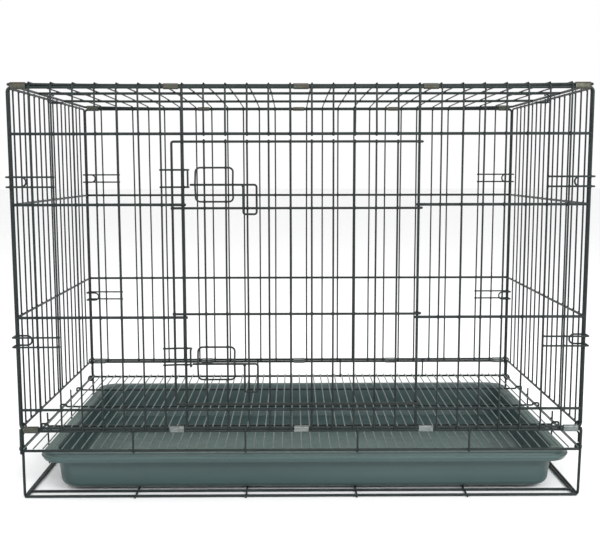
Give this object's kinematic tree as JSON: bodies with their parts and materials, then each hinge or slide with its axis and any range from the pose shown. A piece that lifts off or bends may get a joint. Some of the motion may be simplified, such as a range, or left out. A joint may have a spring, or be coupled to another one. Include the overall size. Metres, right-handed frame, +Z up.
{
  "type": "folding wire rabbit cage",
  "caption": "Folding wire cage with a hinged front door, two sliding latches, wire floor and raised base over a slide-out plastic tray.",
  "frame": {"origin": "on the floor, under the middle of the whole cage's box", "axes": "+Z up, +X along the width to the right as seen from the door, -Y towards the door"},
  "size_m": [0.7724, 0.457, 0.5625],
  "materials": {
    "coated_wire": "dark green-black powder coat on steel wire",
    "door_wire": "dark green-black powder coat on steel wire",
    "floor_wire": "galvanised steel wire, dulled",
    "zinc_clip": "zinc-plated sheet, matt",
    "tray_plastic": "moulded slate green-grey plastic, satin"
  },
  "bodies": {
    "root": {"front_panel_left": "coated_wire", "front_panel_right": "coated_wire", "front_panel_header": "coated_wire", "front_panel_sill": "coated_wire", "back_panel": "coated_wire", "roof_panel": "coated_wire", "hook_front_left_lower": "coated_wire", "hook_front_left_upper": "coated_wire", "hook_front_right_lower": "coated_wire", "hook_front_right_upper": "coated_wire", "hook_back_left_lower": "coated_wire", "hook_back_left_upper": "coated_wire", "hook_back_right_lower": "coated_wire", "hook_back_right_upper": "coated_wire", "roof_hook_left": "coated_wire", "roof_hook_right": "coated_wire", "clip_front_base_1": "zinc_clip", "clip_front_base_2": "zinc_clip", "clip_front_base_3": "zinc_clip", "clip_front_base_4": "zinc_clip", "clip_front_base_5": "zinc_clip", "clip_front_roof_1": "zinc_clip", "clip_front_roof_2": "zinc_clip", "clip_front_roof_3": "zinc_clip", "clip_front_roof_4": "zinc_clip", "clip_front_roof_5": "zinc_clip", "clip_back_base_1": "zinc_clip", "clip_back_base_2": "zinc_clip", "clip_back_base_3": "zinc_clip", "clip_back_base_4": "zinc_clip", "clip_back_base_5": "zinc_clip", "clip_back_roof_1": "zinc_clip", "clip_back_roof_2": "zinc_clip", "clip_back_roof_3": "zinc_clip", "clip_back_roof_4": "zinc_clip", "clip_back_roof_5": "zinc_clip", "end_eye_left_front": "coated_wire", "end_eye_left_back": "coated_wire", "end_eye_right_front": "coated_wire", "end_eye_right_back": "coated_wire", "latch_keeper_lower": "coated_wire", "latch_keeper_upper": "coated_wire", "base_front_band": "coated_wire", "base_back_band": "coated_wire", "base_left_frame": "coated_wire", "base_right_frame": "coated_wire", "tray_rack": "coated_wire", "floor_grid": "floor_wire"},
    "door": {"door": "door_wire", "latch_guide_lower": "door_wire", "latch_guide_upper": "door_wire"},
    "latch_rod_lower": {"latch_rod_lower": "door_wire"},
    "latch_rod_upper": {"latch_rod_upper": "door_wire"},
    "latch_handle_lower": {"latch_handle_lower": "door_wire"},
    "latch_handle_upper": {"latch_handle_upper": "door_wire"},
    "left_end": {"left_end_panel": "coated_wire"},
    "right_end": {"right_end_panel": "coated_wire"},
    "tray": {"tray": "tray_plastic"}
  },
  "joints": [
    {"name": "door_hinge", "type": "hinge", "parent": "root", "child": "door", "pos_m": [0.15522, -0.216, 0.309], "axis": [0, 0, 1], "range_deg": [0, 160]},
    {"name": "latch_lower_slide", "type": "slide", "parent": "door", "child": "latch_rod_lower", "axis": [1, 0, 0], "range_m": [-0.0095, 0.005]},
    {"name": "latch_lower_swing", "type": "hinge", "parent": "latch_rod_lower", "child": "latch_handle_lower", "pos_m": [-0.06722, -0.2239, 0.1897], "axis": [-1, 0, 0], "range_deg": [0, 160]},
    {"name": "latch_upper_slide", "type": "slide", "parent": "door", "child": "latch_rod_upper", "axis": [1, 0, 0], "range_m": [-0.0095, 0.005]},
    {"name": "latch_upper_swing", "type": "hinge", "parent": "latch_rod_upper", "child": "latch_handle_upper", "pos_m": [-0.06722, -0.2239, 0.4283], "axis": [-1, 0, 0], "range_deg": [0, 160]},
    {"name": "left_end_fold", "type": "hinge", "parent": "root", "child": "left_end", "pos_m": [-0.381, 0.004, 0.0998], "axis": [0, 1, 0], "range_deg": [0, 90]},
    {"name": "right_end_fold", "type": "hinge", "parent": "root", "child": "right_end", "pos_m": [0.381, 0.004, 0.0998], "axis": [0, -1, 0], "range_deg": [0, 88]},
    {"name": "tray_slide", "type": "slide", "parent": "root", "child": "tray", "axis": [0, -1, 0], "range_m": [0, 0.44]}
  ]
}
